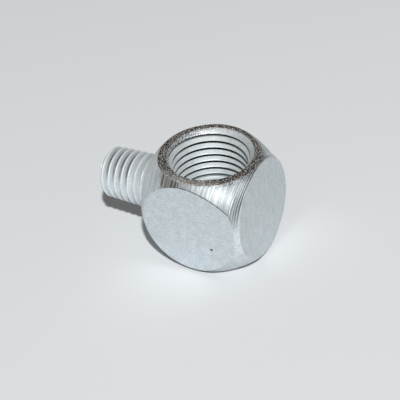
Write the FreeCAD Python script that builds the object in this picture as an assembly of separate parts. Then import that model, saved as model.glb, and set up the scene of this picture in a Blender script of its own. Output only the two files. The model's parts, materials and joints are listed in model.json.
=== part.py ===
import FreeCAD, Part
import math
import os
from FreeCAD import Vector

# Pipe thread elbow adapter, one solid machined from 12.7 mm (1/2 in) square bar.
# The male thread runs along -X, the female port opens upwards along +Z, and the
# origin is where the two axes cross.

INCH = 25.4

# Square bar and the ball turned on it about the X axis
across_flats = INCH / 2
ball_r = 8.62
shoulder_x = -6.5           # the ball ends here, in a steep cone down to the thread
neck_end_x = -7.6

# Female port: 1/8 in pipe size, 27 turns to the inch, taper 1 in 16
port_pitch = INCH / 27
tap_drill_r = INCH * 11 / 64
port_root_r = 5.12          # root radius of the thread at the mouth
port_root_flat = port_pitch / 12
first_root_depth = 1.08
port_turns = 5
port_runout = (0.8, 0.35)   # shares of full depth in the last turns, which the tap only starts
sink_r = 5.15
sink_depth = 0.85
drilled_depth = 8.55        # from the mouth to the full width's end
drill_point_angle = 118

# Male thread: 1/4 in size, 28 turns to the inch, its roots tapered towards the free end
male_pitch = INCH / 28
male_end_x = -14.3
male_major_r = 3.2
male_depth = 0.53           # depth of a turn beside the ball, before the taper
male_root_flat = male_pitch / 8
first_root_x = -13.2
male_turns = 4
male_runout = (0.6, 0.3)    # the die lifts off before its last turns are full depth
chamfer_length = 0.55
chamfer_r = 2.55            # radius of the flat at the free end
passage_r = 1.5

radius_per_mm = 1 / 32      # a taper of 1 in 16 on the diameter
flank = math.tan(math.radians(30))
overshoot = 1.0             # how far a cutter reaches past the surface that it cuts
groove_overshoot = 0.2


def turned(profile, axis):
    """A closed profile of (place along the axis, radius), turned about that axis."""
    across = Vector(0, 1, 0)
    points = [axis * along + across * radius for along, radius in profile]
    face = Part.Face(Part.makePolygon(points + points[:1]))
    return face.revolve(Vector(0, 0, 0), axis, 360)


def ball():
    """The turned ball, left its five flats by the bar: front, back, top, bottom and end."""
    corner = Vector(shoulder_x, -across_flats / 2, -across_flats / 2)
    bar = Part.makeBox(across_flats / 2 - shoulder_x, across_flats, across_flats, corner)
    return Part.makeSphere(ball_r).common(bar)


def shoulder():
    """The steep cone from the ball down to where the thread begins."""
    ball_end_r = math.sqrt(ball_r ** 2 - shoulder_x ** 2)
    return turned([
        (neck_end_x, 0),
        (neck_end_x, male_major_r),
        (shoulder_x, ball_end_r),
        (shoulder_x, 0),
    ], Vector(1, 0, 0))


def groove(axis, along, root_r, root_flat, land_r):
    """One turn of a thread, a ring of 60 degree section from its root past the land."""
    past_land = math.copysign(groove_overshoot, land_r - root_r)
    height = abs(land_r + past_land - root_r)
    root, mouth = root_flat / 2, root_flat / 2 + height * flank
    section = [
        (along - mouth, land_r + past_land),
        (along - root, root_r),
        (along + root, root_r),
        (along + mouth, land_r + past_land),
    ]
    return turned(section, axis)


def male_spigot():
    """The round spigot with its chamfered end and its turns of thread."""
    axis = Vector(1, 0, 0)
    spigot = turned([
        (male_end_x, 0),
        (male_end_x, chamfer_r),
        (male_end_x + chamfer_length, male_major_r),
        (neck_end_x, male_major_r),
        (neck_end_x, 0),
    ], axis)
    for turn, share in enumerate((1,) * male_turns + male_runout):
        root_x = first_root_x + turn * male_pitch
        taper = (neck_end_x - root_x) * radius_per_mm
        root_r = male_major_r - (male_depth + taper) * share
        spigot = spigot.cut(groove(axis, root_x, root_r, male_root_flat, male_major_r))
    return spigot


def port_cutter():
    """The drilled hole, its countersink and its turns of thread, as one cutter."""
    axis = Vector(0, 0, 1)
    mouth_z = across_flats / 2
    floor_z = mouth_z - drilled_depth
    point = tap_drill_r / math.tan(math.radians(drill_point_angle / 2))
    hole = turned([
        (floor_z - point, 0),
        (floor_z, tap_drill_r),
        (mouth_z + overshoot, tap_drill_r),
        (mouth_z + overshoot, 0),
    ], axis)
    sink = turned([
        (mouth_z - sink_depth, 0),
        (mouth_z - sink_depth, tap_drill_r),
        (mouth_z, sink_r),
        (mouth_z + overshoot, sink_r),
        (mouth_z + overshoot, 0),
    ], axis)
    cutter = hole.fuse(sink)
    for turn, share in enumerate((1,) * port_turns + port_runout):
        depth = first_root_depth + turn * port_pitch
        full = port_root_r - depth * radius_per_mm - tap_drill_r
        root_r = tap_drill_r + full * share
        cutter = cutter.fuse(groove(axis, mouth_z - depth, root_r, port_root_flat, tap_drill_r))
    return cutter


def passage():
    """The drilled way from the male end into the port."""
    return Part.makeCylinder(passage_r, -male_end_x, Vector(male_end_x, 0, 0), Vector(1, 0, 0))


def adapter_body():
    body = ball().fuse(shoulder()).fuse(male_spigot())
    return body.cut(port_cutter()).cut(passage())


os.makedirs("parts", exist_ok=True)
body = adapter_body()
print("adapter_body valid", body.isValid(), "solids", len(body.Solids), "volume", round(body.Volume, 1))
body.Solids[0].exportStep("parts/adapter_body.step")
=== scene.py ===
# %% [markdown]
# # A pipe thread elbow adapter
# This small fitting is one solid piece of steel, so the lesson is about one mesh and one finish.
# A machinist turns a ball on a square bar, which leaves five round flats, cuts a male thread on
# the stub that is left on one side, and taps a pipe port from above. The steps below follow the
# same order: turn, mill, thread, drill, and then the zinc plating as a material.

import json
import math

import bmesh
import bpy
from mathutils import Matrix, Vector, noise


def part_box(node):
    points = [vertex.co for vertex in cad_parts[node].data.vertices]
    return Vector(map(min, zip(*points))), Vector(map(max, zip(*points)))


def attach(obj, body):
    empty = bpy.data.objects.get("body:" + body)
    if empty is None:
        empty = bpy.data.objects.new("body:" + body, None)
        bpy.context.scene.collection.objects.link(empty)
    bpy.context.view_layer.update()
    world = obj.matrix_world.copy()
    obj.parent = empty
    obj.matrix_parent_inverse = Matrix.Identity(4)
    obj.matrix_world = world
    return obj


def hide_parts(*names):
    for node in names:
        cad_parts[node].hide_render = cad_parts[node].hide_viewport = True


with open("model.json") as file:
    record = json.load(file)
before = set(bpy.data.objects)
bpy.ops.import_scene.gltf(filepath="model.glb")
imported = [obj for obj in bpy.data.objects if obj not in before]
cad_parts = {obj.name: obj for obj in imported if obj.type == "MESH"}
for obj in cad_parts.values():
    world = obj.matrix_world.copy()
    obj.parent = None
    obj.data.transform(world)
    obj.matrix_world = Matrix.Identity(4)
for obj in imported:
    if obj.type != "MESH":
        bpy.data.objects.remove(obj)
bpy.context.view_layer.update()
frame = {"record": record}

# %% [markdown]
# ## Sizes
# The frame already holds the real sizes, so they are read from it and not typed again: its box
# gives the flats and the free end, and its mounts give the radii of both threads. The modelling
# is done in millimetres, the unit of a drawing, and the finished mesh is scaled to metres.

# %% Sizes read from the frame
MM = 0.001
INCH = 25.4
X, Y, Z = Vector((1, 0, 0)), Vector((0, 1, 0)), Vector((0, 0, 1))
mounts = {mount["name"]: mount for mount in frame["record"]["mounts"]}
lowest, highest = (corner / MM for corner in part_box("adapter_body"))

half_flats = highest.z
end_flat_x = highest.x
male_end_x = lowest.x
male_crest_r = mounts["male_thread"]["dims"]["r_mm"]
tap_drill_r = mounts["female_port"]["dims"]["r_mm"]
print("half flats", half_flats, "end flat", end_flat_x, "free end", male_end_x)

# %% [markdown]
# ## Helpers
# Every form here is made by spinning an outline about an axis, which is also how a lathe makes
# it. One helper draws the outline as a chain of vertices for the spin operator, and one turns a
# bmesh into an object. After a spin the doubled vertices at the seam are merged first, and only
# then are the normals made to point outwards.

# %% Helpers for spun forms
same_place = 0.0005         # vertices nearer than this are one
on_plane = 0.0001           # a vertex nearer a cutting plane than this lies on it


def outline(bm, points, axis):
    """A chain of vertices in a plane through the axis, from (along, radius) points."""
    verts = [bm.verts.new(axis * along + Y * radius) for along, radius in points]
    return verts + [bm.edges.new(pair) for pair in zip(verts, verts[1:])]


def weld(bm):
    bmesh.ops.remove_doubles(bm, verts=bm.verts, dist=same_place)
    bmesh.ops.recalc_face_normals(bm, faces=bm.faces)


def to_object(bm, name):
    mesh = bpy.data.meshes.new(name)
    bm.to_mesh(mesh)
    bm.free()
    obj = bpy.data.objects.new(name, mesh)
    bpy.context.scene.collection.objects.link(obj)
    print(name, len(mesh.polygons), "faces")
    return obj


def between(value, start, end):
    """How far value is from start to end, held between 0 and 1."""
    return min(max((value - start) / (end - start), 0), 1)


def only(kind, items):
    return [item for item in items if isinstance(item, kind)]


def everything(bm):
    return bm.verts[:] + bm.edges[:] + bm.faces[:]


# %% [markdown]
# ## The turned ball
# On the real part the ball is the turned surface: fine rings run round the thread's axis, and
# beside the end flat a few deeper ones were left by the tool. A sphere primitive has no room for
# them, so the outline is an arc of points, closer together where the rings are, and the rings
# are shallow notches in it. Towards the thread the ball ends in a steep cone.

# %% The ball's outline
ball_r = 8.62
end_swell = 0.2             # the ball is a little fuller beside the end flat than a true sphere
shoulder_x = -6.5           # the ball ends here, in a steep cone down to the thread
neck_end_x = -7.6
cone_shares = (0, 0.08, 0.2, 0.6)   # rings on the cone, closest where the thread will join it
ring_places = {6.2: 0.045, 6.03: 0.035, 5.88: 0.04, 5.7: 0.035, 5.5: 0.02}
ring_half_width = 0.06
ring_zone = 4.95            # from here to the end flat the outline is finely divided
fine_step = 0.035
arc_steps = 84
cap_x = end_flat_x + 0.4    # the outline ends past the flat, which cuts it off


def ball_radius(x):
    notch = max(depth * between(abs(x - place), ring_half_width, 0)
                for place, depth in ring_places.items())
    return math.sqrt(ball_r ** 2 - x ** 2) + end_swell * between(x, ring_zone, end_flat_x) - notch


def ball_outline():
    start, end = math.acos(shoulder_x / ball_r), math.acos(ring_zone / ball_r)
    turns = [start + (end - start) * step / arc_steps for step in range(arc_steps)]
    places = [ball_r * math.cos(turn) for turn in turns]
    fine = round((cap_x - ring_zone) / fine_step)
    places += [ring_zone + (cap_x - ring_zone) * step / fine for step in range(fine + 1)]
    cone_length, cone_height = shoulder_x - neck_end_x, ball_radius(shoulder_x) - male_crest_r
    cone = [(neck_end_x + cone_length * share, male_crest_r + cone_height * share)
            for share in cone_shares]
    return [(neck_end_x, 0)] + cone + [(x, ball_radius(x)) for x in places] + [(cap_x, 0)]


round_steps = 288           # faces round the ball
ball = bmesh.new()
bmesh.ops.spin(ball, geom=outline(ball, ball_outline(), X), cent=(0, 0, 0), axis=X,
               angle=math.tau, steps=round_steps, use_merge=True)
weld(ball)
print("ball", len(ball.faces), "faces")

# %% [markdown]
# The turned surface isn't a perfect sphere, and the photo's outlines show where: above the front
# flat it is fuller, so that flat's edge runs nearly straight, and behind the port it is leaner.
# A sculpting brush could do this by hand. Here the vertices on one side are moved out or in by a
# rule, less the further they turn away from that side, so every run gives the same ball.

# %% Fill out and slim the ball
def swell(bm, angle, reach, amount, start_x, peak_x, end_x):
    """Moves a side of the ball by up to amount. The angle is counted about X, from +Y to +Z."""
    way = Vector((0, math.cos(math.radians(angle)), math.sin(math.radians(angle))))
    moved = 0
    for vert in bm.verts:
        from_axis = Vector((0, vert.co.y, vert.co.z))
        along = between(vert.co.x, start_x, peak_x) ** 2 * between(vert.co.x, end_x, peak_x)
        if along > 0 and from_axis.length > 1:
            turn = min(from_axis.angle(way) / math.radians(reach), 1)
            vert.co += from_axis.normalized() * amount * along * math.cos(turn * math.pi / 2) ** 2
            moved += turn < 1
    print("swell of", amount, "mm moved", moved, "vertices")


swell(ball, angle=150, reach=34, amount=0.65, start_x=1.0, peak_x=5.6, end_x=end_flat_x)
swell(ball, angle=37, reach=40, amount=-0.3, start_x=-2.0, peak_x=4.8, end_x=end_flat_x)

# %% [markdown]
# ## The five flats
# A flat is what remains of the square bar, so it is cut with a plane. The first cut, a little
# below the flat, only adds a ring of edges. The second clears the cap away and its rim is filled
# and pulled in, which leaves a narrow slope between ball and flat, as wear and plating do. More
# rings inside it keep the shading of the slope off the flat. They are extruded in place and then
# scaled, because the inset operator throws long spikes where the rim's edges are very short.
# The end flat leans a little, as in the photo, so its plane has two small slopes.

# %% Cut the flats
edge_soft = 0.06                    # width of the worn edge of each flat
plain_rings = (0.2,)                # widths of the rings inside a flat's edge
granular_rings = (0.06,) * 8        # the rim round the port is divided finely, for its grains
end_tilt_y, end_tilt_z = 0.02, 0.035
end_centre_x = 6.42
end_way = Vector((1, end_tilt_y, end_tilt_z))


def slice_off(bm, point, outwards):
    """Clears what lies outside a plane and fills the hole: the new face and its edges."""
    cut = bmesh.ops.bisect_plane(bm, geom=everything(bm), dist=on_plane, plane_co=point,
                                 plane_no=outwards, clear_outer=True)["geom_cut"]
    rim = only(bmesh.types.BMEdge, cut)
    return bmesh.ops.edgeloop_fill(bm, edges=rim)["faces"], rim


def pull_in(bm, verts, middle, share):
    to_middle = Matrix.Translation(-middle)
    bmesh.ops.scale(bm, vec=Vector((1, 1, 1)) * share, space=to_middle, verts=verts)


def mill_flat(bm, normal, distance, rings):
    below = normal * (distance - edge_soft)
    bmesh.ops.bisect_plane(bm, geom=everything(bm), dist=on_plane, plane_co=below, plane_no=normal)
    middle = normal * distance
    faces, rim = slice_off(bm, middle, normal)
    verts = list(dict.fromkeys(vert for edge in rim for vert in edge.verts))
    radius = sum((vert.co - middle).length for vert in verts) / len(verts)
    pull_in(bm, verts, middle, 1 - edge_soft / radius)
    radius -= edge_soft
    for width in rings:
        new = bmesh.ops.extrude_face_region(bm, geom=faces)["geom"]
        bmesh.ops.delete(bm, geom=faces, context="FACES_ONLY")
        faces = only(bmesh.types.BMFace, new)
        pull_in(bm, only(bmesh.types.BMVert, new), middle, 1 - width / radius)
        radius -= width
    return radius


for normal, distance, rings in (
    (Z, half_flats, granular_rings),
    (-Z, half_flats, plain_rings),
    (Y, half_flats, plain_rings),
    (-Y, half_flats, plain_rings),
    (end_way.normalized(), end_centre_x / end_way.length, plain_rings),
):
    inner_r = mill_flat(ball, normal, distance, rings)
    print("flat facing", tuple(normal), "plain inside", round(inner_r, 3), "mm")

# %% [markdown]
# ## Grains on the rim
# The flat ring round the port is as rough as burnt or forged scale: grains of about a tenth of a
# millimetre. A Displace modifier could raise them, but it would need a texture of its own. The
# closely spaced rings of the last step are moved up and down by a noise that depends only on
# their place, so every run gives the same grains. The highest ones are cut off, as a tool does.

# %% Roughen the rim
grain_size = 0.2
grain_height = 0.05
highest_grain = 0.2         # in shares of the height, as the noise gives it
grain_sink = 0.006
rim_vertices = [vert for vert in ball.verts if vert.co.z > half_flats - edge_soft - 0.001]
for vert in rim_vertices:
    grain = noise.noise(vert.co / grain_size) + 0.5 * noise.noise(vert.co * 2 / grain_size)
    vert.co.z += grain_height * min(grain, highest_grain) - grain_sink
print("rim vertices", len(rim_vertices))
body = to_object(ball, "adapter_body_finish")

# %% [markdown]
# ## The male thread
# A thread is one outline spun about the axis while it moves along it, and the spin operator does
# both when it is given a step along the axis, dvec. The outline is one pitch long, so one turn
# ends where the next begins: copies of the turn, each a pitch further, merge into one smooth
# helix. A long spin would do the same, only slower.

# %% Wind one pitch into a thread
def wind(points, axis, pitch, turns, steps):
    bm = bmesh.new()
    bmesh.ops.spin(bm, geom=outline(bm, points, axis), cent=(0, 0, 0), axis=axis,
                   dvec=axis * pitch / steps, angle=math.tau, steps=steps)
    first_turn = everything(bm)
    for turn in range(1, turns):
        copy = bmesh.ops.duplicate(bm, geom=first_turn)["geom"]
        bmesh.ops.translate(bm, vec=axis * pitch * turn, verts=only(bmesh.types.BMVert, copy))
    bmesh.ops.remove_doubles(bm, verts=bm.verts, dist=same_place)
    return bm


male_pitch = INCH / 28
male_depth = 0.56
male_crest_x = -14.05       # a crest's place along the axis, at the side that faces +Y
male_start_turns = 2.5      # the winding starts this many pitches before that crest
male_turns, male_steps = 11, 96
male_samples = 16
root_share, crest_share = 0.14, 0.92


def male_outline():
    """One pitch from root to root: a triangle wave, cut off and rounded at both ends."""
    points = []
    for sample in range(male_samples + 1):
        share = sample / male_samples
        rise = between(1 - abs(2 * share - 1), root_share, crest_share)
        height = rise * 0.6 + rise ** 2 * (3 - 2 * rise) * 0.4
        radius = male_crest_r - male_depth * (1 - height)
        points.append((male_crest_x + (share - male_start_turns) * male_pitch, radius))
    return points


male = wind(male_outline(), X, male_pitch, male_turns, male_steps)
print("male thread", len(male.faces), "faces")

# %% [markdown]
# The thread so far is straight and endless. A die cuts the real one, and its mouth is a cone, so
# the turns follow a slight taper and the last ones near the ball are shallower. Each of these is
# a limit on a vertex's radius, and so is the chamfer at the free end, which saves more booleans.

# %% Taper it, run it out and chamfer its free end
male_taper = 1 / 32         # growth of the radius per millimetre towards the ball
nominal_x = -10.6           # the crest has its nominal radius here
runout_start_x, runout_end_x = -10.6, -8.4
runout_depth = 0.07         # what is left of the groove where the shoulder begins
chamfer_length, chamfer_r = 0.55, 2.55
join_overlap = 0.3          # how far the spigot reaches into the ball

for vert in male.verts:
    x, radius = vert.co.x, math.hypot(vert.co.y, vert.co.z)
    crest = male_crest_r + male_taper * (x - nominal_x)
    target = crest - (male_crest_r - radius)
    runout = between(x, runout_start_x, runout_end_x)
    floor_depth = male_depth + (runout_depth - male_depth) * runout
    target = max(target, crest - floor_depth)
    cone = chamfer_r + (male_crest_r - chamfer_r) * (x - male_end_x) / chamfer_length
    target = min(target, max(cone, chamfer_r - male_depth))
    vert.co.yz = vert.co.yz * (target / radius)

slice_off(male, X * male_end_x, -X)
slice_off(male, X * (neck_end_x + join_overlap), X)
weld(male)
spigot = to_object(male, "spigot")

# %% [markdown]
# ## The tapped port
# The port is cut away, so its thread is modelled as the plug that would fill it. A pipe thread's
# roots follow a cone, one in sixteen on the diameter, while its crests keep the radius of the
# drilled hole. Limits on each vertex's radius give both, and also the shallow last turns that
# the tap's tip leaves. Below them the hole is plain, and it ends in the drill's point.

# %% Wind the plug for the port
port_pitch = INCH / 27
port_root_r = 5.12
port_root_flat = port_pitch / 12
port_root_z = 5.67          # height of the first root on the male thread's side, -X
port_start_turns = 9.75     # the winding starts this many pitches below that root
port_turns, port_steps = 12, 128
port_samples = 20
radius_per_mm = 1 / 32      # taper of the roots
land_taper = 0.6            # the lands follow this share of that taper
flank = math.tan(math.radians(30))
lead_start, lead_end = 5.3, 7.5     # depths between which the tap's tip cuts ever less


def port_outline():
    start_z = port_root_z - port_start_turns * port_pitch
    points = []
    for sample in range(port_samples + 1):
        share = sample / port_samples
        from_root = abs(share - 0.5) * port_pitch
        radius = port_root_r - max(from_root - port_root_flat / 2, 0) / flank
        points.append((start_z + share * port_pitch, radius))
    return points


plug = wind(port_outline(), Z, port_pitch, port_turns, port_steps)
for vert in plug.verts:
    depth, radius = half_flats - vert.co.z, math.hypot(vert.co.x, vert.co.y)
    full = port_root_r - tap_drill_r - depth * radius_per_mm
    target = radius - depth * radius_per_mm
    target = min(target, tap_drill_r + full * between(depth, lead_end, lead_start))
    target = max(target, tap_drill_r - depth * radius_per_mm * land_taper)
    vert.co.xy = vert.co.xy * (target / radius)
print("port thread", len(plug.faces), "faces")

# %% [markdown]
# A drill's point is a cone of 118 degrees. The plug's bottom face is extruded in place and its
# new vertices are merged at the tip, which makes the cone without a second object.

# %% Give the plug its top and the drill's point
drilled_depth = 8.55
drill_point_angle = 118
cutter_overshoot = 1.0      # how far a cutter reaches out of the surface that it cuts

floor_z = half_flats - drilled_depth
slice_off(plug, Z * (half_flats + cutter_overshoot), Z)
bottom = slice_off(plug, Z * floor_z, -Z)[0]
tip = bmesh.ops.extrude_face_region(plug, geom=bottom)["geom"]
bmesh.ops.delete(plug, geom=bottom, context="FACES_ONLY")
point_z = floor_z - tap_drill_r / math.tan(math.radians(drill_point_angle / 2))
bmesh.ops.pointmerge(plug, verts=only(bmesh.types.BMVert, tip), merge_co=Z * point_z)
weld(plug)
port_plug = to_object(plug, "port_plug")

# %% [markdown]
# The countersink, the hidden passage to the male end and the one small pit in the front flat are
# plain cones and cylinders, which the create_cone operator makes directly.

# %% Countersink, passage and pit cutters
def tapered_rod(name, start, end, start_r, end_r, segments):
    bm = bmesh.new()
    along = end - start
    turn = Z.rotation_difference(along).to_matrix().to_4x4()
    place = Matrix.Translation((start + end) / 2) @ turn
    bmesh.ops.create_cone(bm, cap_ends=True, segments=segments, radius1=start_r, radius2=end_r,
                          depth=along.length, matrix=place)
    return to_object(bm, name)


sink_r, sink_depth = 5.1, 0.85
sink_centre = X * 0.05 + Y * 0.18   # the real countersink is a little off the port's axis
sink_slope = (sink_r - tap_drill_r) / sink_depth
sink_reach = 1.2            # depth of the cone's small end, inside the drilled hole
countersink = tapered_rod("countersink", sink_centre + Z * (half_flats - sink_reach),
                          sink_centre + Z * (half_flats + cutter_overshoot),
                          sink_r - sink_reach * sink_slope,
                          sink_r + cutter_overshoot * sink_slope, 256)

passage_r = 1.5
passage = tapered_rod("passage", X * (male_end_x - cutter_overshoot), X * 0,
                      passage_r, passage_r, 64)

pit_x, pit_z, pit_r, pit_depth = 2.88, -2.04, 0.17, 0.12
pit_place = X * pit_x + Z * pit_z - Y * half_flats
pit = tapered_rod("pit", pit_place - Y * pit_depth, pit_place + Y * pit_depth,
                  pit_r * 1.25, pit_r * 0.75, 24)

# %% [markdown]
# ## One solid
# The boolean modifier joins the spigot to the ball and cuts the port and the passage. The
# manifold solver is exact and fast on closed meshes, and these all are.

# %% Join and cut
def combine(obj, other, operation):
    modifier = obj.modifiers.new(operation, "BOOLEAN")
    modifier.object, modifier.operation, modifier.solver = other, operation, "MANIFOLD"
    graph = bpy.context.evaluated_depsgraph_get()
    mesh = bpy.data.meshes.new_from_object(obj.evaluated_get(graph))
    obj.modifiers.clear()
    obj.data = mesh
    bpy.data.objects.remove(other)


combine(body, spigot, "UNION")
for cutter in (port_plug, countersink, passage, pit):
    combine(body, cutter, "DIFFERENCE")
print("body", len(body.data.polygons), "faces")

# %% [markdown]
# Edges that turn sharply stay sharp, and all others are shaded smooth. The rings that were pulled
# in beside each rim already keep the flats flat to the eye, so no weighting of normals is needed.

# %% Scale to metres and set the shading
sharp_degrees = 55


def finish_mesh(obj):
    bm = bmesh.new()
    bm.from_mesh(obj.data)
    bmesh.ops.dissolve_degenerate(bm, edges=bm.edges, dist=on_plane)
    bmesh.ops.scale(bm, vec=(MM, MM, MM), verts=bm.verts)
    open_edges = sum(1 for edge in bm.edges if len(edge.link_faces) != 2)
    bm.to_mesh(obj.data)
    bm.free()
    obj.data.shade_smooth()
    obj.data.set_sharp_from_angle(angle=math.radians(sharp_degrees))
    print(obj.name, "open edges", open_edges)


finish_mesh(body)

# %% [markdown]
# ## Shader arithmetic
# Masks and patterns are sums and products of numbers, and Python can write those as they are
# read. One small class wraps a socket: every operator on it adds a Math node. Any other node
# comes from one method, which sets the node's settings first and then its inputs.

# %% A small language for nodes
class Value:
    """A socket whose number changes over the surface."""

    def __init__(self, graph, socket):
        self.graph, self.socket = graph, socket

    def math(self, operation, *values):
        inputs = dict(enumerate(values))
        return self.graph.node("ShaderNodeMath", {"operation": operation}, inputs)

    def __add__(self, other):
        return self.math("ADD", self, other)

    def __sub__(self, other):
        return self.math("SUBTRACT", self, other)

    def __rsub__(self, other):
        return self.math("SUBTRACT", other, self)

    def __mul__(self, other):
        return self.math("MULTIPLY", self, other)

    def __pow__(self, other):
        return self.math("POWER", self, other)

    def __abs__(self):
        return self.math("ABSOLUTE", self)

    def maximum(self, other):
        return self.math("MAXIMUM", self, other)

    __radd__, __rmul__ = __add__, __mul__

    def rise(self, start, end):
        """0 before start, 1 after end, with a smooth step between them."""
        return self.graph.node("ShaderNodeMapRange", {"interpolation_type": "SMOOTHSTEP"},
                               {"Value": self, "From Min": start, "From Max": end})

    def fall(self, start, end):
        """1 before start, 0 after end."""
        return 1 - self.rise(start, end)


class Graph:
    """A material's node tree."""

    def __init__(self, name):
        self.material = bpy.data.materials.new(name)
        self.material.use_nodes = True
        self.tree = self.material.node_tree
        self.tree.nodes.clear()

    def node(self, kind, settings, inputs, output=0):
        new = self.tree.nodes.new(kind)
        for name, value in settings.items():
            setattr(new, name, value)
        for key, value in inputs.items():
            if isinstance(value, Value):
                self.tree.links.new(value.socket, new.inputs[key])
            else:
                new.inputs[key].default_value = value
        return Value(self, new.outputs[output])

    def place(self):
        """Object coordinates in millimetres."""
        coords = self.node("ShaderNodeTexCoord", {}, {}, "Object")
        return self.stretch(coords, (1 / MM, 1 / MM, 1 / MM))

    def stretch(self, vector, scale):
        return self.node("ShaderNodeVectorMath", {"operation": "MULTIPLY"}, {0: vector, 1: scale})

    def axes(self, vector):
        return [self.node("ShaderNodeSeparateXYZ", {}, {0: vector}, part) for part in range(3)]

    def noise(self, vector, scale, detail, roughness):
        return self.node("ShaderNodeTexNoise", {}, {
            "Vector": vector, "Scale": scale, "Detail": detail, "Roughness": roughness})

    def mix(self, factor, colour_a, colour_b):
        inputs = {0: factor, 6: colour_a, 7: colour_b}
        return self.node("ShaderNodeMix", {"data_type": "RGBA"}, inputs, 2)

    def show(self, shader):
        """Joins the finished shader to the material's output."""
        output = self.tree.nodes.new("ShaderNodeOutputMaterial")
        self.tree.links.new(shader.socket, output.inputs["Surface"])
        print(self.material.name, len(self.tree.nodes), "nodes")


# %% [markdown]
# ## Zinc plating
# The plating is a bluish silver layer on steel, satin rather than mirror bright, so it is partly
# metal and partly diffuse in the shader. Its look changes with the surface below it: mottled on
# the milled flats, lined on the turned ball, pale in the threads, and burnt and granular on the
# rim. Painted shade darkens the thread roots, the lathe rings and the top of the male thread, and
# painted highlights lie on the male crests and the front of the rim. Painting that by hand would
# tie it to one mesh. Here each zone is a mask made from the place on the part: the two numbers
# of a rise or a fall are the millimetres where it starts and where it is complete.

# %% The plating's zones
plating = Graph("zinc_plated_steel")
place = plating.place()
x, y, z = plating.axes(place)
port_distance = (x * x + y * y) ** 0.5
male_distance = (y * y + z * z) ** 0.5
ball_distance = (x * x + y * y + z * z) ** 0.5
end_height = x + y * end_tilt_y + z * end_tilt_z - (end_centre_x - end_flat_x)

sink_floor_z = half_flats - sink_depth
top_flat = z.rise(half_flats - 2 * edge_soft, half_flats - edge_soft)
on_end_flat = end_height.rise(end_flat_x - 0.05, end_flat_x - 0.02)
furthest_out = end_height.maximum(abs(y)).maximum(abs(z))
off_flats = furthest_out.fall(half_flats - 0.03, half_flats - 0.005)
in_port = port_distance.fall(5.1, 5.3) * (1 - top_flat) * z.rise(floor_z - 3, floor_z - 2.9)
in_sink = in_port * z.rise(sink_floor_z - 0.05, sink_floor_z + 0.05)
on_male = x.fall(neck_end_x - 0.3, neck_end_x + 0.3)
on_ball = ball_distance.rise(ball_r - 0.6, ball_r - 0.45) * off_flats * (1 - top_flat)
on_ball = on_ball * (1 - in_port)
print("zones", len(plating.tree.nodes), "nodes")

# %% [markdown]
# The ball gets smaller zones: the bright glint between port and end flat, which fades towards
# the thread and whose tip is dulled with painted shade, and a matt corner low beside the front
# flat. A thin dark line is painted along the upper edge of the front and the back flat.

# %% Parts of the ball
beside_glint = x.rise(-5.0, -1.0)
# where painted shade dulls the tip of the lamp's glint
glint_tip = x.rise(2.8, 4.4) * z.fall(4.0, 5.5) * z.rise(2.0, 3.0) * x.fall(5.4, 5.6)
low_corner = x.rise(1.5, 4.0) * z.fall(0.5, 3.5) * y.fall(-4.0, -2.0)
# a thin dark line painted along the upper edge of the front and the back flat
edge_line = abs(y).rise(half_flats - 0.09, half_flats - 0.05)
edge_line = edge_line * abs(y).fall(half_flats - 0.03, half_flats - 0.01)

# %% [markdown]
# The patterns are all noise. A noise that is squeezed along X and stretched across it gives the
# fine lines of turning, because they run round that axis.

# %% The plating's patterns
mottle = plating.noise(place, 1.1, 4.0, 0.65)
speckle = plating.noise(place, 5.5, 3.0, 0.65)
scale_grain = plating.noise(place, 6.5, 2.0, 0.55)
turning = plating.noise(plating.stretch(place, (7.0, 0.3, 0.3)), 1.0, 1.5, 0.6)
end_streaks = plating.noise(plating.stretch(place, (1.0, 4.0, 0.5)), 1.0, 2.0, 0.6)
print("zones and patterns", len(plating.tree.nodes), "nodes")

# %% [markdown]
# Painted shade darkens the roots of both threads and the deeper lathe rings: on the male thread
# only its upper half, and in the rings only where they face up and to the front. The masks for
# that shade follow the same cones and places as the mesh above, so the dark lines lie in the
# real grooves. A painted highlight makes the male crests pale in the same way.

# %% Painted shade in the threads and rings
last_turns = z.fall(0.1, 1.4)
# painted shade in the roots of the port's thread, weaker in its last turns
port_root = (port_distance + (half_flats - z) * radius_per_mm).rise(4.81, 4.99)
port_root = port_root * in_port * (1 - in_sink) * (1 - last_turns * 0.6)

male_depth_here = male_crest_r + (x - nominal_x) * male_taper - male_distance
# painted shade in the male thread's roots, on its upper half only
male_root = male_depth_here.rise(0.36, 0.54) * on_male * z.rise(-0.2, 2.2)
male_root = male_root * x.rise(male_end_x, male_end_x + 0.5)
# a painted highlight along the male crests, fading towards the ball
male_crest = male_depth_here.fall(0.05, 0.24) * on_male * x.fall(-9.4, -8.8)

facing_up_front = z.rise(1.0, 4.0) * y.fall(2.0, 4.0)
# painted shade in the deeper lathe rings, where they face up and to the front
ring_lines = sum(abs(x - ring).fall(0.02, 0.07) for ring in ring_places)
in_ring = ring_lines * facing_up_front * speckle.rise(0.3, 0.46)
in_ring = in_ring * (0.6 + x.rise(5.8, 6.1) * 0.4) * on_ball

# %% [markdown]
# The burnt scale of the rim spills over a little: into the countersink on the thread's side, and
# onto the ball near the end flat. Below the port a brown stain was left, and three brown dots
# lie on the front flat, the largest of them in the pit.

# %% Stray scale and brown spots
sink_scale = in_sink * x.fall(-4.4, 1.0) * scale_grain.rise(0.4, 0.55)
stray_scale = on_ball * z.rise(5.75, 6.2) * x.rise(2.5, 4.5) * scale_grain.rise(0.45, 0.5)
# a painted sheen lightens the front of the rim
rim_front_sheen = top_flat * y.fall(-6.0, -3.8)


def spot(across, upwards, inner, outer):
    """A round spot, from its two distances and the radii where it is full and where it ends."""
    return ((across * across + upwards * upwards) ** 0.5).fall(inner, outer)


def front_spot(spot_x, spot_z, radius):
    return spot(x - spot_x, z - spot_z, radius * 0.7, radius * 1.3) * y.fall(-6.0, -5.9)


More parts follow.
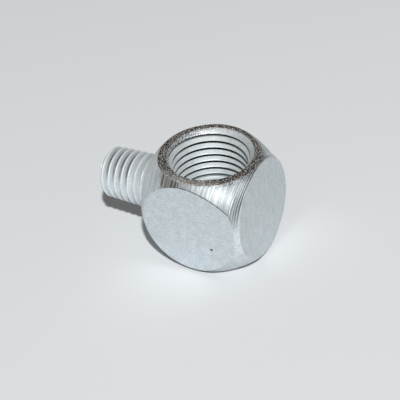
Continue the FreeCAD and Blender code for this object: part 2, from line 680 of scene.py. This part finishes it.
stain = spot((x + 1.95) * 0.67, z - 6.05, 0.75, 1.2) * y.fall(-5.0, -4.6) * on_ball
dots = (front_spot(pit_x, pit_z, pit_r) * 0.9 + front_spot(2.6, -0.4, 0.1) * 0.4
        + front_spot(1.8, -0.7, 0.08) * 0.3)
print("all masks", len(plating.tree.nodes), "nodes")

# %% [markdown]
# The colour is built up in layers, as paint is: each layer has a strength, which is a mask, and
# a tint that it mixes over what lies below. Later layers cover earlier ones, so the broad zones
# come first and the painted shade and highlight in the threads, the scale and the dots last.

# %% The plating's colours
zinc_pale, zinc_deep = (0.79, 0.865, 0.9, 1), (0.665, 0.73, 0.76, 1)
zinc_shade, zinc_grey = (0.36, 0.39, 0.41, 1), (0.5, 0.52, 0.52, 1)
# pale colour of the painted highlight on the male crests
painted_crest_highlight = (0.88, 0.93, 0.95, 1)
# the dark of the painted shade in thread roots and lathe rings, and of the thin edge line
groove_shade_and_edge_line = (0.05, 0.05, 0.055, 1)
# the second colour is for the rim's light grains and for the painted sheen on its front
burnt, grain_and_sheen_light = (0.04, 0.038, 0.037, 1), (0.75, 0.74, 0.71, 1)
stain_brown, dot_brown = (0.13, 0.1, 0.09, 1), (0.1, 0.06, 0.04, 1)

# lathe lines and an even grey on the ball, with more painted shade on the glint's side, which dims
# the lamp's glint
turned_streaks_and_shade = 0.15 + beside_glint * 0.3 + turning.rise(0.4, 0.6) * 0.65
# less of it in the matt low corner, on the left shoulder and at the back; beside the end flat the
# lighter colour is painted light on a steep slope that mirrors little of the lamp
for fading in (low_corner * 0.8, x.rise(5.2, 5.6) * 0.7,
               x.fall(-6.0, -3.5) * 0.7, y.rise(1.0, 3.0) * 0.5):
    turned_streaks_and_shade = turned_streaks_and_shade * (1 - fading)

layers = (
    # grey of the flats, the port and the ball
    (speckle.fall(0.36, 0.5) * 0.5, zinc_shade),
    (on_end_flat * (0.28 + end_streaks.rise(0.35, 0.65) * 0.2) + in_port * 0.4, zinc_grey),
    (on_ball * beside_glint * scale_grain.fall(0.36, 0.46) * 0.45, zinc_shade),
    # painted shade with darker speckles dulls the tip of the lamp's glint
    (on_ball * glint_tip * (0.4 + speckle.fall(0.4, 0.55) * 0.5), zinc_shade),
    # lathe lines, an even grey and painted shade on the ball
    (on_ball * turned_streaks_and_shade, zinc_shade),
    (stain * (turning.rise(0.3, 0.6) * 0.6 + 0.35), stain_brown),
    # the thin dark line painted along the upper edges of the front and back flats
    (edge_line * z.rise(2.0, 4.2) * x.rise(-2.5, 0.0) * 0.8, groove_shade_and_edge_line),
    # both threads
    # painted shade darkens the male thread towards its top, over a little even grey
    (on_male * (z.rise(-1.0, 2.5) * 0.25 + z.rise(1.3, 2.8) * 0.4 + 0.1), zinc_shade),
    # painted shade deep in the port, over its last turns
    (in_port * last_turns * 0.35, zinc_shade),
    # painted highlight on the male crests
    (male_crest * 0.4, painted_crest_highlight),
    # painted shade in the roots of both threads and in the lathe rings
    (male_root * 0.85, groove_shade_and_edge_line),
    (port_root * 0.95, groove_shade_and_edge_line),
    (in_ring * 0.9, groove_shade_and_edge_line),
    # burnt scale, its lighter grains, and a painted sheen on the rim's front
    (sink_scale * 0.75, burnt),
    (stray_scale * 0.8, burnt),
    (top_flat, burnt),
    (top_flat * scale_grain.rise(0.52, 0.6) * 0.8 + rim_front_sheen * 0.38, grain_and_sheen_light),
    (dots, dot_brown),
)
colour = plating.mix(mottle.rise(0.3, 0.7), zinc_deep, zinc_pale)
for strength, tint in layers:
    colour = plating.mix(strength, colour, tint)
print("layers of colour", len(layers) + 1)

# %% [markdown]
# Roughness and metallic follow the same zones. The shoulders of the ball are less metallic, so
# they keep their tone when nothing bright is mirrored in them, and the male thread is the
# smoothest place. A shallow bump adds what is too fine for the mesh.

# %% The plating's finish
roughness = (0.36 + mottle * 0.12 + in_port * 0.12 + on_ball * (0.13 + glint_tip * 0.2)
             - on_male * 0.14 + top_flat * 0.15)
ball_diffuse = on_ball * (0.55 - beside_glint * 0.3 + low_corner * 0.35)
metallic = 0.85 - in_port * 0.4 - on_male * 0.2 - ball_diffuse - top_flat * 0.3
height = speckle * 0.6 + on_ball * turning * 2.4 + top_flat * scale_grain * 3
bump = plating.node("ShaderNodeBump", {}, {
    "Strength": 0.4, "Distance": 0.02 * MM, "Height": height}, "Normal")

shader = plating.node("ShaderNodeBsdfPrincipled", {}, {
    "Base Color": colour, "Roughness": roughness, "Metallic": metallic, "Normal": bump})
plating.show(shader)
body.data.materials.clear()
body.data.materials.append(plating.material)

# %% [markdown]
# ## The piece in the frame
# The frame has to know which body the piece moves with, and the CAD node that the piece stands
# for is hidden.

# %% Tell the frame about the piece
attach(body, "root")
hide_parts("adapter_body")
print(body.name, "rides on root")

# %% [markdown]
# ## Floor, light and camera
# The part lies on a plain pale sheet, which is one large matt square at the height of its lowest
# flat. A plane without any gloss keeps the lamp's mirror image out of the picture.

# %% Floor
floor_mesh = bmesh.new()
bmesh.ops.create_grid(floor_mesh, x_segments=1, y_segments=1, size=1.0)
bmesh.ops.translate(floor_mesh, vec=Z * lowest.z * MM, verts=floor_mesh.verts)
floor = to_object(floor_mesh, "floor")
paper = Graph("pale_paper")
paper.show(paper.node("ShaderNodeBsdfPrincipled", {}, {
    "Base Color": (0.69, 0.715, 0.735, 1), "Roughness": 1.0, "Specular IOR Level": 0.0}))
floor.data.materials.append(paper.material)

# %% [markdown]
# The camera stands where the photo's stood. Its angles and its distance in millimetres were
# found by laying the part's outlines over those of the photo. Three turns give its direction,
# and the place follows from stepping back along it, with a small shift sideways and down.

# %% Camera
view_azimuth, view_elevation, view_roll = 33.39, 38.13, -7.13
view_distance = 139.74
view_shift = (-1.649, -0.29)
turned = (Matrix.Rotation(math.radians(view_azimuth), 4, "Z")
          @ Matrix.Rotation(math.radians(90 - view_elevation), 4, "X")
          @ Matrix.Rotation(math.radians(view_roll), 4, "Z"))
seat = turned @ Vector((*view_shift, view_distance)) * MM
camera_data = bpy.data.cameras.new("camera")
camera_data.lens, camera_data.sensor_width = 108, 36
camera_data.clip_start = 0.001
camera = bpy.data.objects.new("camera", camera_data)
camera.matrix_world = Matrix.Translation(seat) @ turned
bpy.context.scene.collection.objects.link(camera)
bpy.context.scene.camera = camera
print("camera at", tuple(round(part, 4) for part in seat), "m")

# %% [markdown]
# One small lamp, a little right of the camera and above it, throws the narrow dark shadow, and a
# dim, slightly warm world fills the rest. A larger lamp would blur the glint on the ball.

# %% Lamp and world
def lamp(name, direction, distance, size, power):
    data = bpy.data.lights.new(name, "AREA")
    data.shape, data.size, data.energy = "DISK", size, power
    obj = bpy.data.objects.new(name, data)
    towards = Vector(direction).normalized()
    obj.matrix_world = (Matrix.Translation(towards * distance)
                        @ towards.to_track_quat("Z", "Y").to_matrix().to_4x4())
    bpy.context.scene.collection.objects.link(obj)
    print(name, power, "W")


lamp("key", direction=(0.486, -0.596, 1.0), distance=0.9, size=0.045, power=8.1)

world = bpy.data.worlds.new("room")
world.use_nodes = True
background = world.node_tree.nodes["Background"]
background.inputs["Color"].default_value = (1.0, 0.94, 0.87, 1)
background.inputs["Strength"].default_value = 0.19
bpy.context.scene.world = world
bpy.context.scene.view_settings.view_transform = "Standard"
